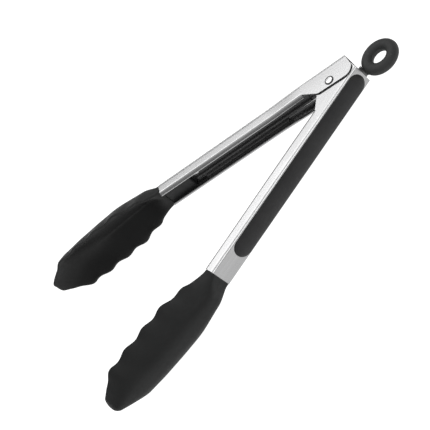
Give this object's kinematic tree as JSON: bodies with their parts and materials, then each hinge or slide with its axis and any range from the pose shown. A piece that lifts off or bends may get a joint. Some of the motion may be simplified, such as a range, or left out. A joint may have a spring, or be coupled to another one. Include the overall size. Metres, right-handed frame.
{
  "type": "kitchen tongs",
  "caption": "Spring loaded kitchen tongs: two sheet-metal channel arms on one rivet, soft grip pads, scalloped scoop heads and a pull ring on a sliding lock.",
  "frame": {"origin": "centre of the hanging hole in the pull ring", "axes": "+X runs from the ring towards the tips, along the line that halves the angle between the open arms; +Z is the axis of the hanging hole and is parallel to the pivot rivet; +Y points to the arm that lies inside at the pivot"},
  "size_m": [0.2625, 0.1317, 0.0358],
  "materials": {
    "arm_steel": "light stainless sheet, brushed along the arm",
    "rivet_steel": "plain stainless, softly polished",
    "spring_steel": "drawn wire, bright",
    "lock_steel": "pressed sheet, satin",
    "ring_rubber": "matt charcoal, moulded",
    "pad_rubber": "matt charcoal, moulded",
    "liner_plastic": "black moulded nylon",
    "core_plastic": "charcoal moulded nylon",
    "head_rubber": "matt charcoal silicone, smooth"
  },
  "bodies": {
    "inner_half": {"inner_arm": "arm_steel", "pivot_rivet": "rivet_steel", "spacer_tube": "rivet_steel", "torsion_spring": "spring_steel", "grip_pad_inner": "pad_rubber", "grip_liner_inner": "liner_plastic", "head_core_inner": "core_plastic", "head_skin_inner": "head_rubber", "head_rivet_inner": "rivet_steel"},
    "outer_half": {"outer_arm": "arm_steel", "grip_pad_outer": "pad_rubber", "grip_liner_outer": "liner_plastic", "head_core_outer": "core_plastic", "head_skin_outer": "head_rubber", "head_rivet_outer": "rivet_steel"},
    "lock": {"lock_plate": "lock_steel", "pull_ring": "ring_rubber"}
  },
  "joints": [
    {"name": "arm_pivot", "type": "hinge", "parent": "inner_half", "child": "outer_half", "pos_m": [0.0299, -0.00682, 0], "axis": [0, 0, 1], "range_deg": [0, 28.1], "stiffness_Nm_per_rad": 0.8, "springref_deg": -34.38, "deforming": ["torsion_spring"]},
    {"name": "lock_slide", "type": "slide", "parent": "inner_half", "child": "lock", "axis": [-0.9617, -0.274, 0], "range_m": [0, 0.009]}
  ]
}
